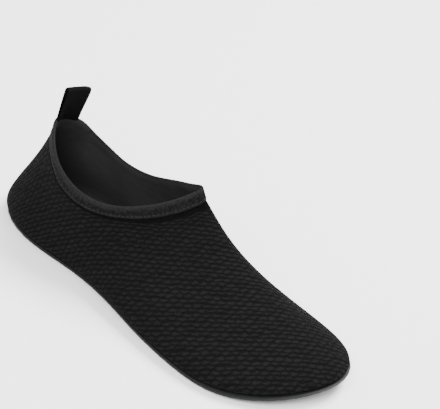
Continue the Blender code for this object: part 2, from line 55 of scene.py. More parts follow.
# %% [markdown]
# ## The camera
#
# A product photograph of a shoe is taken from above its outer side, a little ahead of the middle,
# with the camera rolled until the foot runs across the picture. A long lens keeps the toe from
# growing. Direction, roll and distance are named here, and the camera's matrix is built from its
# own axes, because a track-to constraint can't hold a roll.

# %% Place the camera
AZIMUTH, ELEVATION, ROLL = (math.radians(a) for a in (116.4, 35.3, 15.9))
DISTANCE = 0.881
AIM = Vector((-0.01323, -0.00018, 0.0335))
FOCAL_LENGTH, SENSOR_WIDTH = 112.45, 36    # millimetres
SHIFT = (0.0886, 0.1011)                   # shares of the picture's width


def in_scene(name, data):
    """A new object with some data, linked to the scene."""
    thing = bpy.data.objects.new(name, data)
    bpy.context.scene.collection.objects.link(thing)
    return thing


towards = Vector((math.sin(AZIMUTH) * math.cos(ELEVATION),
                  -math.cos(AZIMUTH) * math.cos(ELEVATION), math.sin(ELEVATION)))
level = Vector((0, 0, 1)).cross(towards).normalized()
upright = towards.cross(level)
picture_right = level * math.cos(ROLL) + upright * math.sin(ROLL)
picture_up = upright * math.cos(ROLL) - level * math.sin(ROLL)

lens = bpy.data.cameras.new("camera")
lens.sensor_width = SENSOR_WIDTH
lens.lens = FOCAL_LENGTH
lens.shift_x, lens.shift_y = SHIFT
camera = in_scene("camera", lens)
camera.matrix_world = Matrix((picture_right, picture_up, towards)).transposed().to_4x4()
camera.matrix_world.translation = AIM + towards * DISTANCE
bpy.context.scene.camera = camera
print("camera at", [round(c, 3) for c in camera.matrix_world.translation])

# %% [markdown]
# ## Floor and light
#
# Black cloth shows its weave only where light grazes it, so the studio has a strong soft light
# above the shoe's inner side, a weaker one above its outer side, where the camera stands, and an
# even pale room. The floor is a plain pale board, with a faint tooth so that it doesn't mirror.


# %% Helpers for materials
def new_material(name, colour, roughness, specular=0.5):
    """A Principled material whose even values sit on the shader's own sockets."""
    material = bpy.data.materials.new(name)
    material.use_nodes = True
    shader = material.node_tree.nodes["Principled BSDF"]
    shader.inputs["Base Color"].default_value = (*colour, 1)
    shader.inputs["Roughness"].default_value = roughness
    shader.inputs["Specular IOR Level"].default_value = specular
    return material, material.node_tree, shader


def calc(tree, operation, *values):
    """A Math node on numbers or on other nodes' outputs."""
    node = tree.nodes.new("ShaderNodeMath")
    node.operation = operation
    for socket, value in zip(node.inputs, values):
        if isinstance(value, (int, float)):
            socket.default_value = value
        else:
            tree.links.new(value, socket)
    return node.outputs[0]


def fade(tree, value, start, end):
    """0 at start and 1 at end, with soft shoulders."""
    node = tree.nodes.new("ShaderNodeMapRange")
    node.interpolation_type = "SMOOTHSTEP"
    tree.links.new(value, node.inputs["Value"])
    node.inputs["From Min"].default_value = start
    node.inputs["From Max"].default_value = end
    return node.outputs[0]


def paint(tree, shader, share, low, high):
    """Colours a material between two colours, by a share from 0 to 1."""
    node = tree.nodes.new("ShaderNodeMix")
    node.data_type = "RGBA"
    node.inputs["A"].default_value = (*low, 1)
    node.inputs["B"].default_value = (*high, 1)
    tree.links.new(share, node.inputs["Factor"])
    tree.links.new(node.outputs["Result"], shader.inputs["Base Color"])


def split_xyz(tree, vector):
    """The three numbers of a vector."""
    node = tree.nodes.new("ShaderNodeSeparateXYZ")
    tree.links.new(vector, node.inputs[0])
    return node.outputs


def attribute(tree, name):
    """A number that the mesh carries under a name."""
    node = tree.nodes.new("ShaderNodeAttribute")
    node.attribute_name = name
    return node.outputs["Fac"]


def place_of(tree, stretch=(1, 1, 1), turn=(0, 0, 0)):
    """Object coordinates, turned and stretched."""
    source = tree.nodes.new("ShaderNodeTexCoord")
    mapping = tree.nodes.new("ShaderNodeMapping")
    mapping.inputs["Rotation"].default_value = turn
    mapping.inputs["Scale"].default_value = stretch
    tree.links.new(source.outputs["Object"], mapping.inputs["Vector"])
    return mapping.outputs["Vector"]


def cloud(tree, vector, scale, detail=2.0):
    """Soft noise of a scale, from about 0 to 1."""
    node = tree.nodes.new("ShaderNodeTexNoise")
    node.inputs["Scale"].default_value = scale
    node.inputs["Detail"].default_value = detail
    tree.links.new(vector, node.inputs["Vector"])
    return node.outputs[0]


def emboss(tree, shader, height, depth, strength=1.0, under=None):
    """Bump of a real depth in metres, on top of another bump if there is one."""
    node = tree.nodes.new("ShaderNodeBump")
    node.inputs["Distance"].default_value = depth
    node.inputs["Strength"].default_value = strength
    tree.links.new(height, node.inputs["Height"])
    if under is not None:
        tree.links.new(under, node.inputs["Normal"])
    tree.links.new(node.outputs["Normal"], shader.inputs["Normal"])
    return node.outputs["Normal"]


print("material helpers ready")

# %% Lay the floor
FLOOR_HALF = 2.5
material, tree, shader = new_material("pale_board", (0.90, 0.90, 0.90), 0.75, 0.2)
tooth = cloud(tree, place_of(tree), 900)
paint(tree, shader, tooth, (0.89, 0.89, 0.89), (0.92, 0.92, 0.92))
emboss(tree, shader, tooth, 0.0001, 0.2)

bm = bmesh.new()
bmesh.ops.create_grid(bm, x_segments=1, y_segments=1, size=FLOOR_HALF)
mesh = bpy.data.meshes.new("floor")
bm.to_mesh(mesh)
bm.free()
mesh.materials.append(material)
floor = in_scene("floor", mesh)
print("floor laid")


# %% Hang the lights
LIT_POINT = Vector((0, 0, 0.03))
ROOM_LIGHT = 1.3


def soft_light(name, place, size, power):
    """A square soft light that faces the shoe: metres and watts."""
    data = bpy.data.lights.new(name, "AREA")
    data.size = size
    data.energy = power
    light = in_scene(name, data)
    light.location = place
    light.rotation_euler = (LIT_POINT - light.location).to_track_quat("-Z", "Y").to_euler()


soft_light("top_light", (-0.9, 0.1, 1.4), 0.8, 70)
soft_light("side_light", (0.9, 0.1, 1.2), 0.9, 36)
world = bpy.data.worlds.new("studio")
world.use_nodes = True
world.node_tree.nodes["Background"].inputs["Color"].default_value = (1, 1, 1, 1)
world.node_tree.nodes["Background"].inputs["Strength"].default_value = ROOM_LIGHT
bpy.context.scene.world = world
print("two soft lights and an even room")

# %% [markdown]
# ## Copies to work on
#
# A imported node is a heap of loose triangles. Each piece starts as a copy with its doubles merged
# and its triangles joined back into quads, because Subdivision Surface rounds quads evenly and
# pinches triangles. The subdivision is carried out at once, because later steps move the points of
# the finer mesh.


# %% Helpers for meshes
MERGE_DISTANCE = 0.00001
JOIN_ANGLE = 1.2            # radians


def merged_copy(node, name, quads=True):
    """A copy of a CAD node as one connected mesh, without its material."""
    bm = bmesh.new()
    bm.from_mesh(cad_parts[node].data)
    bmesh.ops.remove_doubles(bm, verts=bm.verts, dist=MERGE_DISTANCE)
    if quads:
        bmesh.ops.join_triangles(bm, faces=bm.faces, angle_face_threshold=JOIN_ANGLE,
                                 angle_shape_threshold=JOIN_ANGLE)
    mesh = bpy.data.meshes.new(name)
    bm.to_mesh(mesh)
    bm.free()
    if "custom_normal" in mesh.attributes:
        mesh.attributes.remove(mesh.attributes["custom_normal"])
    mesh.materials.clear()
    mesh.shade_smooth()
    return in_scene(name, mesh)


def carry_out(thing):
    """Turns an object's modifiers into its mesh."""
    graph = bpy.context.evaluated_depsgraph_get()
    mesh = bpy.data.meshes.new_from_object(thing.evaluated_get(graph))
    thing.modifiers.clear()
    thing.data = mesh
    return thing


def rounded(thing, levels):
    """Rounds a mesh with Subdivision Surface."""
    smooth = thing.modifiers.new("rounded", "SUBSURF")
    smooth.levels = smooth.render_levels = levels
    return carry_out(thing)


def soft_step(value, start, end):
    """0 at start and 1 at end, with soft shoulders."""
    share = min(max((value - start) / (end - start), 0), 1)
    return share * share * (3 - 2 * share)


def report(thing):
    """Prints a piece's size and its number of triangles."""
    mesh = thing.data
    mesh.calc_loop_triangles()
    low = Vector(map(min, zip(*(v.co for v in mesh.vertices))))
    high = Vector(map(max, zip(*(v.co for v in mesh.vertices))))
    size = [round(1000 * c, 1) for c in high - low]
    print(thing.name, size, "mm,", len(mesh.loop_triangles), "triangles")


print("mesh helpers ready")

# %% [markdown]
# ## The knitted upper
#
# The upper is cut from one piece of stretch knit, a horseshoe that is sewn up at the heel's back
# and pulled over a last. Its pattern therefore runs in straight rows on the flat cloth and bends
# with it on the foot: the rows climb towards the toe on the side, and lie the other way on the far
# side of the instep. A pattern on Object coordinates can't do that. Instead the outer skin is cut
# open at the heel and unwrapped flat, as the cloth was, and the UV map is scaled to millimetres.
# The heel's cup unrolls into a curved wing. Real cloth is stretched straight there on the last, so
# the wing is bent straight as well, and the rows keep their climb as far as the seam.

# %% Copy the upper and find its outer skin
SHARP_EDGE = math.radians(70)
upper = merged_copy("upper", "upper_knit")
bm = bmesh.new()
bm.from_mesh(upper.data)
bm.faces.ensure_lookup_table()
bm.normal_update()


def smooth_region(seed):
    """The seed face and all that its smooth edges lead to."""
    region, front = {seed}, [seed]
    while front:
        for edge in front.pop().edges:
            if edge.calc_face_angle(3) < SHARP_EDGE:
                fresh = [f for f in edge.link_faces if f not in region]
                region.update(fresh)
                front.extend(fresh)
    return region


outside = smooth_region(max(bm.faces, key=lambda f: f.calc_center_median().x))
mouth = sum(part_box("collar_binding"), Vector()) / 2
in_the_shoe = Vector((mouth.x, mouth.y, 0.035))
_, _, struck, _ = BVHTree.FromBMesh(bm).ray_cast(in_the_shoe, Vector((-1, 0, 0)))
lined = smooth_region(bm.faces[struck])
for face in bm.faces:
    face.material_index = 1 if face in lined else 0
print(len(outside), "faces of outer skin,", len(lined), "of lining, of", len(bm.faces))

# %% Cut it open at the heel
edge_verts = {v for f in outside for e in f.edges
              if not all(o in outside for o in e.link_faces) for v in e.verts}
loop_low, loop_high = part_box("pull_loop")
loop_foot = Vector(((loop_low.x + loop_high.x) / 2, loop_low.y, loop_low.z))
collar_verts = (v for v in edge_verts if v.co.z > 0.04)
top_of_heel = min(collar_verts, key=lambda v: (v.co - loop_foot).length)
skin_edges = {e for f in outside for e in f.edges}
heading = Vector((0, 0, -1))
seam_path = [top_of_heel]
while len(seam_path) == 1 or seam_path[-1] not in edge_verts:
    here = seam_path[-1]
    ways = [e for e in here.link_edges
            if e in skin_edges and e.other_vert(here) not in seam_path]
    best = max(ways, key=lambda e: (e.other_vert(here).co - here.co).normalized().dot(heading))
    heading = (best.other_vert(here).co - here.co).normalized()
    best.seam = True
    seam_path.append(best.other_vert(here))
for face in bm.faces:
    face.select_set(False)
for face in outside:
    face.select_set(True)
heel_seam = [v.co.copy() for v in seam_path]
bm.to_mesh(upper.data)
bm.free()
print("heel seam of", len(heel_seam), "points")

# %% Unwrap the skin
upper.data.uv_layers.new(name="knit")
bpy.context.view_layer.objects.active = upper
for thing in bpy.context.selected_objects:
    thing.select_set(False)
upper.select_set(True)
bpy.ops.object.mode_set(mode="EDIT")
bpy.ops.mesh.select_mode(type="FACE")
bpy.ops.uv.unwrap(method="MINIMUM_STRETCH", margin=0.0, iterations=40)
bpy.ops.object.mode_set(mode="OBJECT")
print("skin unwrapped")

# %% Turn the cloth's rows and scale them to millimetres
ROW_CLIMB = math.radians(32)      # towards the toe, on the outer side at the waist
row = Vector((0, math.cos(ROW_CLIMB), math.sin(ROW_CLIMB)))
bm = bmesh.new()
bm.from_mesh(upper.data)
knit_map = bm.loops.layers.uv["knit"]
flat_row, found = Vector((0, 0)), 0
for face in bm.faces:
    middle = face.calc_center_median()
    at_waist = middle.x > 0.02 and abs(middle.y) < 0.03 and 0.02 < middle.z < 0.045
    if face.material_index == 0 and len(face.verts) == 4 and at_waist:
        first, second, _, last = face.loops
        one = second.vert.co - first.vert.co
        two = last.vert.co - first.vert.co
        grid = Matrix(((one.dot(one), one.dot(two)), (one.dot(two), two.dot(two)))).inverted()
        share = grid @ Vector((one.dot(row), two.dot(row)))
        start = first[knit_map].uv
        flat_row += ((second[knit_map].uv - start) * share.x
                     + (last[knit_map].uv - start) * share.y)
        found += 1
flat_row /= found
stretch = 1000 / flat_row.length
turn = Matrix.Rotation(-math.atan2(flat_row.y, flat_row.x), 2)
BEND_START, BEND_MIDDLE, BEND_RADIUS = -175.0, 92.0, 84.0    # millimetres on the flat cloth


def unbent(flat):
    """The place on the cloth once the outer heel's wing is bent straight again."""
    past = max(BEND_START - flat.x, 0) / BEND_RADIUS
    reach = BEND_RADIUS - (flat.y - BEND_MIDDLE)
    return Vector((max(flat.x, BEND_START) - reach * math.sin(past),
                   BEND_MIDDLE + BEND_RADIUS - reach * math.cos(past)))


for face in bm.faces:
    for corner in face.loops:
        corner[knit_map].uv = unbent(turn @ corner[knit_map].uv * stretch)
bm.to_mesh(upper.data)
bm.free()
print("read from", found, "faces; scale", round(stretch, 1))

# %% [markdown]
# ## Rounding the upper
#
# The knit is rounded with Subdivision Surface, and the top of its throat is loosened by a few
# hundredths of a millimetre of smooth noise. No crease is pressed into the cloth.

# %% Round the upper
SLACK, SLACK_SCALE = 0.00022, 34
SLACK_START, SLACK_FULL = 0.0785, 0.0825    # the heights over which the slackness sets in
upper = rounded(upper, 2)
for vertex in upper.data.vertices:
    slack = SLACK * noise.noise(vertex.co * SLACK_SCALE)
    slack *= soft_step(vertex.co.z, SLACK_START, SLACK_FULL)
    vertex.co.x += slack if vertex.co.x >= 0 else -slack
report(upper)

# %% [markdown]
# ## Knit and lining
#
# The cloth is a double knit: small oval loops stand proud in staggered rows, and a finer mesh
# lies between them. Each oval is worked out from the UV map in millimetres, one cell to an oval,
# which keeps its size on every foot. The raised loops are painted lighter than the gaps between
# them, a painted highlight and painted shade, with a random tone to each oval, and catch a soft
# sheen.

# %% Knit material
OVAL_PITCH, ROW_PITCH = 6.1, 3.25    # millimetres, as are the next two
MESH_PITCH, MESH_ROW = 0.9, 0.55     # the fine mesh between the ovals
WANDER = 3.0                         # the rows wander by up to half of this each way


def oval_rows(tree, vector, pitch, row, long=0.52, high=0.46, tilt=0.0):
    """Soft ovals in staggered rows, high at an oval's middle, and each oval's tone."""
    along, up, _ = split_xyz(tree, vector)
    rise = calc(tree, "DIVIDE", up, row)
    number = calc(tree, "FLOOR", rise)
    run = calc(tree, "ADD", calc(tree, "DIVIDE", along, pitch), calc(tree, "MULTIPLY", number, 0.5))
    cell = tree.nodes.new("ShaderNodeCombineXYZ")
    tree.links.new(calc(tree, "FLOOR", run), cell.inputs[0])
    tree.links.new(number, cell.inputs[1])
    tone = tree.nodes.new("ShaderNodeTexWhiteNoise")
    tone.noise_dimensions = "2D"
    tree.links.new(cell.outputs[0], tone.inputs["Vector"])
    across = calc(tree, "SUBTRACT", calc(tree, "FRACT", run), 0.5)
    across = calc(tree, "DIVIDE", across, long)
    upwards = calc(tree, "SUBTRACT", calc(tree, "FRACT", rise), 0.5)
    upwards = calc(tree, "DIVIDE", upwards, high)
    upwards = calc(tree, "SUBTRACT", upwards, calc(tree, "MULTIPLY", across, tilt))
    jolt = calc(tree, "MULTIPLY", calc(tree, "SUBTRACT", tone.outputs["Value"], 0.5), 0.5)
    upwards = calc(tree, "ADD", upwards, jolt)
    away = calc(tree, "ADD", calc(tree, "MULTIPLY", across, across),
                calc(tree, "MULTIPLY", upwards, upwards))
    ridge = calc(tree, "SUBTRACT", 1, calc(tree, "MULTIPLY", upwards, upwards))
    oval = fade(tree, away, 1.15, 0.0)
    height = calc(tree, "ADD", calc(tree, "MULTIPLY", oval, 0.8),
                  calc(tree, "MULTIPLY", ridge, 0.2))
    return height, tone.outputs["Value"]


def wander(tree, vector, scale, reach):
    """The vector, shifted by soft noise of up to half the reach each way."""
    texture = tree.nodes.new("ShaderNodeTexNoise")
    texture.inputs["Scale"].default_value = scale
    tree.links.new(place_of(tree), texture.inputs["Vector"])
    centred = tree.nodes.new("ShaderNodeVectorMath")
    centred.operation = "SUBTRACT"
    tree.links.new(texture.outputs["Color"], centred.inputs[0])
    centred.inputs[1].default_value = (0.5, 0.5, 0.5)
    moved = tree.nodes.new("ShaderNodeVectorMath")
    moved.operation = "MULTIPLY_ADD"
    tree.links.new(centred.outputs[0], moved.inputs[0])
    moved.inputs[1].default_value = (reach, reach, reach)
    tree.links.new(vector, moved.inputs[2])
    return moved.outputs[0]


knit, tree, shader = new_material("stretch_knit", (0.005, 0.005, 0.0053), 0.9, 0.02)
shader.inputs["Sheen Weight"].default_value = 0.005
shader.inputs["Sheen Roughness"].default_value = 0.4
cloth = tree.nodes.new("ShaderNodeUVMap")
cloth.uv_map = "knit"
loose = wander(tree, cloth.outputs[0], 330, WANDER)
ovals, tones = oval_rows(tree, loose, OVAL_PITCH, ROW_PITCH, tilt=0.14)
fine, _ = oval_rows(tree, cloth.outputs[0], MESH_PITCH, MESH_ROW)
speck = cloud(tree, place_of(tree), 1300, 3.0)
# The raised ovals are painted lighter and the gaps darker, a painted highlight and shade, with a
# random tone per oval.
oval_highlight_and_tone = calc(tree, "ADD", 0.48, calc(tree, "MULTIPLY", tones, 0.30))
oval_highlight_and_tone = calc(tree, "MULTIPLY", ovals, oval_highlight_and_tone)
share = calc(tree, "ADD", oval_highlight_and_tone, calc(tree, "MULTIPLY", speck, 0.45))
paint(tree, shader, share, (0.0026, 0.0026, 0.0026), (0.0080, 0.0080, 0.0080))
tree.links.new(calc(tree, "SUBTRACT", 0.98, calc(tree, "MULTIPLY", ovals, 0.12)),
               shader.inputs["Roughness"])
under = emboss(tree, shader, ovals, 0.0008, 1.0)
emboss(tree, shader, fine, 0.00018, 0.6, under)

lining, tree, shader = new_material("jersey_lining", (0.02, 0.02, 0.021), 0.85, 0.1)
grain = cloud(tree, place_of(tree, (1, 1, 2)), 1400)
# The lining is painted lighter low in the shoe, a painted fill light where little light reaches.
_, _, height = split_xyz(tree, place_of(tree))
painted_fill_low_down = fade(tree, height, 0.072, 0.030)
streaks = cloud(tree, place_of(tree, (1, 0.3, 1.3), (math.radians(-12), 0, 0)), 300, 3.0)
share = calc(tree, "ADD", calc(tree, "MULTIPLY", painted_fill_low_down, 0.75),
             calc(tree, "MULTIPLY", grain, 0.12))
streaks = calc(tree, "MULTIPLY", calc(tree, "SUBTRACT", streaks, 0.4), 0.5)
share = calc(tree, "ADD", share, streaks)
paint(tree, shader, share, (0.0100, 0.0100, 0.0102), (0.030, 0.030, 0.0305))
emboss(tree, shader, grain, 0.00012, 0.4)
upper.data.materials.append(knit)
upper.data.materials.append(lining)
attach(upper, "root")
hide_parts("upper")
print("upper dressed")

# %% [markdown]
# ## The collar binding
#
# A tape of fine elastic knit is folded over the upper's cut edge and stitched down. It is smoother
# and a shade lighter than the upper, so it reads as a clean band round the foot opening. The CAD
# ring already has the fold. Its sharp edges are creased a little, and then the ring is rounded.

# %% Round the binding
binding = merged_copy("collar_binding", "collar_tape")
plain_ring = bmesh.new()
plain_ring.from_mesh(binding.data)
crease = plain_ring.edges.layers.float.new("crease_edge")
RING_SHARP, RING_CREASE = math.radians(60), 0.8
sharp = {e for e in plain_ring.edges if e.calc_face_angle(0) > RING_SHARP}
for edge in sharp:
    edge[crease] = RING_CREASE
plain_ring.to_mesh(binding.data)
binding = rounded(binding, 2)
report(binding)

# %% Binding material
tape, tree, shader = new_material("elastic_tape", (0.008, 0.008, 0.0083), 0.9, 0.03)
shader.inputs["Sheen Weight"].default_value = 0.012
shader.inputs["Sheen Roughness"].default_value = 0.35
grain = cloud(tree, place_of(tree), 1500)
loops_of_yarn = fade(tree, cloud(tree, place_of(tree), 620), 0.3, 0.7)
# The tape's rim fold and lower edge are painted lighter: a painted highlight.
share = calc(tree, "ADD", calc(tree, "MULTIPLY", loops_of_yarn, 0.55),
             calc(tree, "MULTIPLY", attribute(tree, "painted_edge_highlight"), 0.9))
paint(tree, shader, share, (0.0020, 0.0020, 0.0020), (0.0118, 0.0118, 0.0118))
under = emboss(tree, shader, loops_of_yarn, 0.00025, 0.8)
emboss(tree, shader, grain, 0.00010, 0.5, under)
binding.data.materials.append(tape)
binding.data.materials.append(lining)
LINING_REACH = 0.0001        # the lining's colour goes this far past the middle of the fold


def side_of_upper(index):
    """A search tree of the upper's faces that have one of its two materials."""
    faces = [p.vertices for p in upper.data.polygons if p.material_index == index]
    return BVHTree.FromPolygons([v.co for v in upper.data.vertices], faces)


knit_side, lining_side = side_of_upper(0), side_of_upper(1)
for face in binding.data.polygons:
    to_knit = knit_side.find_nearest(face.center)[3]
    to_lining = lining_side.find_nearest(face.center)[3]
    face.material_index = 1 if to_lining < to_knit + LINING_REACH else 0
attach(binding, "root")
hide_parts("collar_binding")
print("binding dressed")

# %% [markdown]
# ## The binding's stitches
#
# A row of short stitches near the tape's lower edge holds both its leaves to the upper. Every
# stitch is a small flattened ball from one bmesh operator, laid on the tape by the nearest point
# of its surface, so the row follows the collar's dips without any sums about its shape.

# %% Find the tape's lower edge
# How far the painted highlight reaches on the tape's rim fold and along its lower edge.
RIM_SHIFT, RIM_HIGHLIGHT_WIDTH, FOOT_HIGHLIGHT_WIDTH = -0.0003, 0.0009, 0.0011
RING_POINTS = 60            # a ring right round the tape has more points than this
loops = []
left = set(sharp)
while left:
    edge = min(left, key=lambda e: e.index)    # a set's own order changes from run to run
    left.discard(edge)
    ring = [edge.verts[0], edge.verts[1]]
    while ring[-1] is not ring[0]:
        onward = [e for e in ring[-1].link_edges if e in left]
        if not onward:
            break
        left.discard(onward[0])
        ring.append(onward[0].other_vert(ring[-1]))
    loops.append(ring[:-1] if ring[-1] is ring[0] else ring)
loops = [ring for ring in loops if len(ring) > RING_POINTS]


def mean_reach(ring):
    """How far a ring lies from the collar's middle, seen from above."""
    return sum((v.co.xy - mouth.xy).length for v in ring) / len(ring)


def mean_height(ring):
    """How high a ring lies."""
    return sum(v.co.z for v in ring) / len(ring)


def tree_along(ring, steps=8):
    """A search tree of close points along a ring."""
    points = [a.co.lerp(b.co, k / steps) for a, b in zip(ring, ring[1:] + ring[:1])
              for k in range(steps)]
    tree = KDTree(len(points))
    for number, place in enumerate(points):
        tree.insert(place, number)
    tree.balance()
    return tree


lower_edge = max(loops, key=mean_reach)
near_lower_edge = tree_along(lower_edge)
# A painted highlight on the rounded rim fold and the lower edge, where they catch the light.
painted_edge_highlight = binding.data.attributes.new("painted_edge_highlight", "FLOAT", "POINT")
for vertex in binding.data.vertices:
    from_knit = knit_side.find_nearest(vertex.co)[3]
    from_lining = lining_side.find_nearest(vertex.co)[3]
    at_top = soft_step(abs(from_knit - from_lining - RIM_SHIFT), RIM_HIGHLIGHT_WIDTH, 0)
    at_foot = soft_step(near_lower_edge.find(vertex.co)[2], FOOT_HIGHLIGHT_WIDTH, 0)
    painted_edge_highlight.data[vertex.index].value = max(at_top, 0.6 * at_foot)
print(len(loops), "sharp rings; the outer one has", len(lower_edge), "points")

# %% [markdown]
# On the foot the tape's inner leaf is pressed into the soft lining, and no edge of it shows. The
# leaf is therefore eased outwards towards its lower edge, which ends just under the lining's face.

# %% Ease the tape's inner leaf into the lining
LEAF_SUNK, LEAF_TAPER, LEAF_TOP = 0.0001, 0.0074, 0.0100
SAME_HEIGHT = 0.0025
low_rings = [ring for ring in loops
             if abs(mean_height(ring) - mean_height(lower_edge)) < SAME_HEIGHT]
near_inner_edge = tree_along(min(low_rings, key=mean_reach))
eased = 0
for vertex in binding.data.vertices:
    away = near_inner_edge.find(vertex.co)[2]
    under, inwards, _, _ = lining_side.find_nearest(vertex.co)
    proud = (vertex.co - under).dot(inwards) + LEAF_SUNK
    if away < LEAF_TOP and proud > 0:
        vertex.co -= inwards * proud * (1 - 0.5 * soft_step(away, 0, LEAF_TAPER))
        eased += 1
print("eased", eased, "points of the inner leaf")

# %% Sew the stitches
STITCH_LENGTH, STITCH_WIDTH = 0.0020, 0.00042
STITCH_PITCH, STITCH_INSET = 0.0028, 0.0015
surface = BVHTree.FromPolygons([v.co for v in binding.data.vertices],
                               [p.vertices for p in binding.data.polygons])
row_points = []
for vertex in lower_edge:
    climb = max((e for e in vertex.link_edges if e not in sharp), key=lambda e: e.calc_length())
    upwards = (climb.other_vert(vertex).co - vertex.co).normalized()
    row_points.append(vertex.co + upwards * STITCH_INSET)
plain_ring.free()


def walk(points, pitch, closed=True):
    """Points at a pitch along a line, with the line's direction there."""
    spans = list(zip(points, points[1:] + points[:1] if closed else points[1:]))
    total = sum((b - a).length for a, b in spans)
    count = round(total / pitch)
    reached, wanted, placed = 0.0, 0.0, []
    for a, b in spans:
        span = (b - a).length
        while wanted < reached + span and len(placed) < count:
            placed.append((a.lerp(b, (wanted - reached) / span), (b - a).normalized()))
            wanted += total / count
        reached += span
    return placed


def lay_stitch(bm, surface, place, along, length, width, height=0.00026):
    """One stitch, half sunk in the cloth under it."""
    point, normal, _, _ = surface.find_nearest(place)
    side = normal.cross(along).normalized()
    along = side.cross(normal).normalized()
    frame_of = Matrix((along, side, normal)).transposed().to_4x4()
    frame_of.translation = point
    size = Matrix.Diagonal((length / 2, width / 2, height, 1))
    bmesh.ops.create_uvsphere(bm, u_segments=8, v_segments=5, radius=1, matrix=frame_of @ size)


def as_piece(bm, name, material):
    """Ends a bmesh as a shaded object."""
    mesh = bpy.data.meshes.new(name)
    bm.to_mesh(mesh)
    bm.free()
    mesh.shade_smooth()
    mesh.materials.append(material)
    return in_scene(name, mesh)


thread, tree, shader = new_material("thread", (0.012, 0.012, 0.0125), 0.55, 0.2)
twist = cloud(tree, place_of(tree), 2600)
paint(tree, shader, twist, (0.009, 0.009, 0.0095), (0.016, 0.016, 0.0165))
emboss(tree, shader, twist, 0.0001, 0.4)
bm = bmesh.new()
for place, along in walk(row_points, STITCH_PITCH):
    lay_stitch(bm, surface, place, along, STITCH_LENGTH, STITCH_WIDTH)
stitches = as_piece(bm, "collar_stitches", thread)
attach(stitches, "root")
report(stitches)

# %% [markdown]
# ## The pull loop
#
# A strip of ribbed webbing is folded in half and caught under the binding at the back of the
# collar, for a finger to pull the shoe on. The fold stands open at the top and its corners are
# worn round, so the copy's top corners are drawn in before the mesh is rounded.

# %% Round the loop's corners
FOOT_SUNK = 0.003        # the foot ends this far down, inside the tape's fold
CORNER_HIGH, CORNER_WORN = 0.0045, 0.0016
loop = merged_copy("pull_loop", "pull_loop_webbing")
low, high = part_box("pull_loop")
sole_of_loop = {v for face in loop.data.polygons for v in face.vertices
                if face.normal.z < -0.5 and face.center.z < low.z + 0.005}
foot = [loop.data.vertices[v].co.copy() for v in sole_of_loop]
points = [v.co.copy() for v in loop.data.vertices]
middle = sum(points, Vector()) / len(points)
far = max(points, key=lambda p: (p.xy - middle.xy).length)
wide = Vector((far.x - middle.x, far.y - middle.y, 0)).normalized()
half = max(abs((p - middle).dot(wide)) for p in points)
for vertex in loop.data.vertices:
    across = (vertex.co - middle).dot(wide)
    corner = soft_step(vertex.co.z, high.z - CORNER_HIGH, high.z)
    corner *= soft_step(abs(across), half * 0.55, half)
    vertex.co.z -= CORNER_WORN * corner
    if vertex.index in sole_of_loop:
        vertex.co.z -= FOOT_SUNK
loop = rounded(loop, 2)
report(loop)

# %% Webbing material
WEB_TURN = math.atan2(wide.y, wide.x)
webbing, tree, shader = new_material("webbing", (0.002, 0.002, 0.0021), 0.8, 0.03)
across_web, _, up_web = split_xyz(tree, place_of(tree, turn=(0, 0, -WEB_TURN)))
diagonal = calc(tree, "ADD", calc(tree, "MULTIPLY", across_web, 900),
                calc(tree, "MULTIPLY", up_web, 520))
twill = calc(tree, "ABSOLUTE", calc(tree, "SUBTRACT", calc(tree, "FRACT", diagonal), 0.5))
ribs = calc(tree, "MULTIPLY", twill, 2)
paint(tree, shader, ribs, (0.0014, 0.0014, 0.0015), (0.0036, 0.0036, 0.0038))
emboss(tree, shader, ribs, 0.00018, 0.7)
loop.data.materials.append(webbing)
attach(loop, "root")
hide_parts("pull_loop")
print("webbing turned by", round(math.degrees(WEB_TURN), 1), "degrees")

# %% [markdown]
# The loop's two ends don't stop at the rim: they are laid over the tape's outer face and held by
# two bar tacks, dense rows of thread across the webbing. The ends are one grid, laid on the tape
# by its nearest points and given the webbing's thickness.

# %% Lay the loop's ends over the tape
TAIL_DROP, TAIL_PROUD, TAIL_THICK = 0.0070, 0.0005, 0.0009
TAIL_BEND, TAIL_OUT, TAIL_RISE = 0.25, 0.006, 0.003    # how the ends turn over the rim
foot_middle = sum(foot, Vector()) / len(foot)
foot_half = max(abs((co - foot_middle).dot(wide)) for co in foot)
foot_line = sorted(((co - foot_middle).dot(wide) / foot_half, co.z) for co in foot)
outward = Vector((foot_middle.x - mouth.x, foot_middle.y - mouth.y, 0))
outward = (outward - wide * outward.dot(wide)).normalized()


def rim_height(across):
    """The height of the rim under the loop's foot, across the loop from -1 to 1."""
    before = max((p for p in foot_line if p[0] <= across), default=foot_line[0])
    after = min((p for p in foot_line if p[0] > across), default=foot_line[-1])
    gap = after[0] - before[0]
    return before[1] + (after[1] - before[1]) * ((across - before[0]) / gap if gap > 0 else 0)


def on_tape(across, down):
    """A place on the tape: across the loop from -1 to 1, and down from the rim by 0 to 1."""
    over = min(down / TAIL_BEND, 1)
    start = foot_middle + wide * across * foot_half + outward * TAIL_OUT * over
    start.z = rim_height(across) + TAIL_RISE - TAIL_RISE * over - TAIL_DROP * down
    point, normal, _, _ = surface.find_nearest(start)
    return point, normal


bm = bmesh.new()
bmesh.ops.create_grid(bm, x_segments=12, y_segments=10, size=1)
for vertex in bm.verts:
    point, normal = on_tape(vertex.co.x, (1 - vertex.co.y) / 2)
    vertex.co = point + normal * TAIL_PROUD
bm.normal_update()
facing = sum(face.normal.dot(outward) for face in bm.faces)
bmesh.ops.solidify(bm, geom=bm.faces, thickness=math.copysign(TAIL_THICK, facing))
bmesh.ops.recalc_face_normals(bm, faces=bm.faces)
ends = rounded(as_piece(bm, "pull_loop_ends", webbing), 1)
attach(ends, "root")
report(ends)

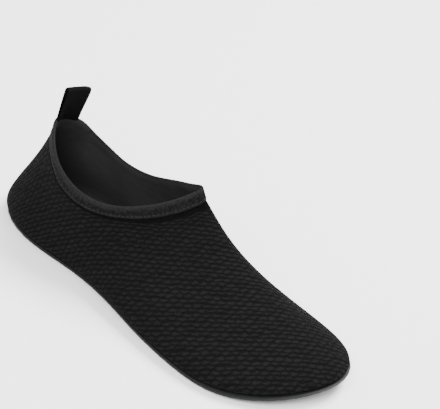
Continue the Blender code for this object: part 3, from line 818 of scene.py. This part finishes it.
# %% Sew the bar tacks
TACK_ROWS, TACKS, TACK_REACH = (0.62, 0.84), 25, 0.88
bm = bmesh.new()
for down in TACK_ROWS:
    for number in range(TACKS):
        across = -TACK_REACH + 2 * TACK_REACH * number / (TACKS - 1)
        point, _ = on_tape(across, down)
        lay_stitch(bm, surface, point, Vector((0, 0, 1)), 0.0013, 0.00055, height=0.00085)
tacks = as_piece(bm, "pull_loop_tacks", thread)
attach(tacks, "root")
report(tacks)

# %% [markdown]
# ## The heel seam
#
# The horseshoe of knit is closed at the back by a flat seam: its two edges butt together and a
# zigzag of thread lies across them. It is sewn along the line where the skin was cut open above.

# %% Sew the heel seam
ZIGZAG_PITCH, ZIGZAG_SLANT = 0.0017, math.radians(62)
bm = bmesh.new()
for number, (place, along) in enumerate(walk(heel_seam, ZIGZAG_PITCH, closed=False)):
    _, normal, _, _ = knit_side.find_nearest(place)
    slant = Matrix.Rotation(ZIGZAG_SLANT if number % 2 else -ZIGZAG_SLANT, 3, normal)
    lay_stitch(bm, knit_side, place, slant @ along, 0.0040, 0.00055, height=0.0003)
seam = as_piece(bm, "heel_seam_stitches", thread)
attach(seam, "root")
report(seam)

# %% [markdown]
# ## The insole
#
# Under the foot lies a thin foam sheet with a cloth face, moulded to the last. Only its heel and
# waist show through the collar. Its broad face is made of long thin triangles, which Subdivision
# Surface would pinch into dents, so only its rim is softened, by a bevel.

# %% Helper for cut pieces
def edge_rounded(thing, width, segments, angle=50, flat=0.6):
    """Clears a mesh of slivers and rounds the edges that are sharper than an angle in degrees."""
    bm = bmesh.new()
    bm.from_mesh(thing.data)
    bmesh.ops.dissolve_limit(bm, angle_limit=math.radians(flat), verts=bm.verts, edges=bm.edges)
    bm.to_mesh(thing.data)
    bm.free()
    bevel = thing.modifiers.new("edge_round", "BEVEL")
    bevel.width = width
    bevel.segments = segments
    bevel.limit_method = "ANGLE"
    bevel.angle_limit = math.radians(angle)
    bevel.use_clamp_overlap = True
    carry_out(thing)
    thing.data.set_sharp_from_angle(angle=math.radians(40))
    return thing


print("edges can be rounded")

# %% Soften and cover the insole
insole = edge_rounded(merged_copy("insole", "insole_pad", quads=False), 0.0006, 3)
cover, tree, shader = new_material("insole_cloth", (0.035, 0.035, 0.036), 0.85, 0.1)
weave = cloud(tree, place_of(tree, (1, 0.6, 1)), 1600)
dimples = tree.nodes.new("ShaderNodeTexVoronoi")
dimples.inputs["Scale"].default_value = 420
dimples.inputs["Randomness"].default_value = 0.15
tree.links.new(place_of(tree), dimples.inputs["Vector"])
paint(tree, shader, weave, (0.028, 0.028, 0.029), (0.042, 0.042, 0.043))
under = emboss(tree, shader, dimples.outputs["Distance"], 0.0002, 0.5)
emboss(tree, shader, weave, 0.0001, 0.4, under)
insole.data.materials.append(cover)
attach(insole, "root")
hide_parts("insole")
report(insole)

# %% [markdown]
# ## The outsole
#
# The sole is pressed from dense rubber in a mould: flat, thin and cut by narrow grooves into
# chevrons, toe pads and a round heel badge. A moulded edge is never sharp, so the copy is cleaned
# of the Boolean's slivers and its groove edges get a fine bevel that catches the light.

# %% Bevel the tread
outsole = edge_rounded(merged_copy("outsole", "outsole_tread", quads=False), 0.0002, 2)
report(outsole)

# %% Rubber material
rubber, tree, shader = new_material("outsole_rubber", (0.016, 0.0162, 0.0165), 0.55, 0.15)
grain = cloud(tree, place_of(tree), 1100)
tone = cloud(tree, place_of(tree), 60)
share = calc(tree, "ADD", calc(tree, "MULTIPLY", grain, 0.4), calc(tree, "MULTIPLY", tone, 0.6))
# Faces that stand upright, the sole's side and the groove walls, are painted darker: a painted
# shade.
painted_side_shade = outsole.data.attributes.new("painted_side_shade", "FLOAT", "FACE")
for face in outsole.data.polygons:
    painted_side_shade.data[face.index].value = 1 - abs(face.normal.z)
share = calc(tree, "SUBTRACT", share, calc(tree, "MULTIPLY", attribute(tree, "painted_side_shade"), 1.2))
paint(tree, shader, share, (0.004, 0.0041, 0.0042), (0.024, 0.0243, 0.0246))
tree.links.new(calc(tree, "ADD", 0.42, calc(tree, "MULTIPLY", tone, 0.2)),
               shader.inputs["Roughness"])
emboss(tree, shader, grain, 0.00008, 0.5)
outsole.data.materials.append(rubber)
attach(outsole, "root")
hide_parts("outsole")
print("outsole dressed")

# %% [markdown]
# ## The heel patch
#
# Low on the heel sits a small label of soft rubber, with fine ridges that run round the heel. The
# rounded copy is fine enough to carry them, so its outer face is pushed out in five low waves.

# %% Ridge the patch
patch = rounded(merged_copy("heel_patch", "heel_patch_rubber"), 2)
low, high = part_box("heel_patch")
RIDGES, RIDGE_HEIGHT, HEEL_RADIUS = 5, 0.0006, 0.045
centre = Vector((0, low.y + HEEL_RADIUS, 0))
for vertex in patch.data.vertices:
    outward = Vector((vertex.co.x - centre.x, vertex.co.y - centre.y, 0)).normalized()
    if vertex.normal.dot(outward) > 0.5:
        height = (vertex.co.z - low.z) / (high.z - low.z)
        ridge = math.sin(height * math.pi * RIDGES) ** 2
        ridge *= soft_step(abs(height - 0.5), 0.46, 0.36)
        vertex.co += outward * RIDGE_HEIGHT * ridge
soft_rubber, tree, shader = new_material("patch_rubber", (0.004, 0.004, 0.0042), 0.7, 0.05)
grain = cloud(tree, place_of(tree), 1300)
paint(tree, shader, grain, (0.0035, 0.0035, 0.0036), (0.0060, 0.0060, 0.0062))
emboss(tree, shader, grain, 0.00006, 0.4)
patch.data.materials.append(soft_rubber)
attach(patch, "root")
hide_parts("heel_patch")
report(patch)

# %% Finish
bpy.context.view_layer.update()
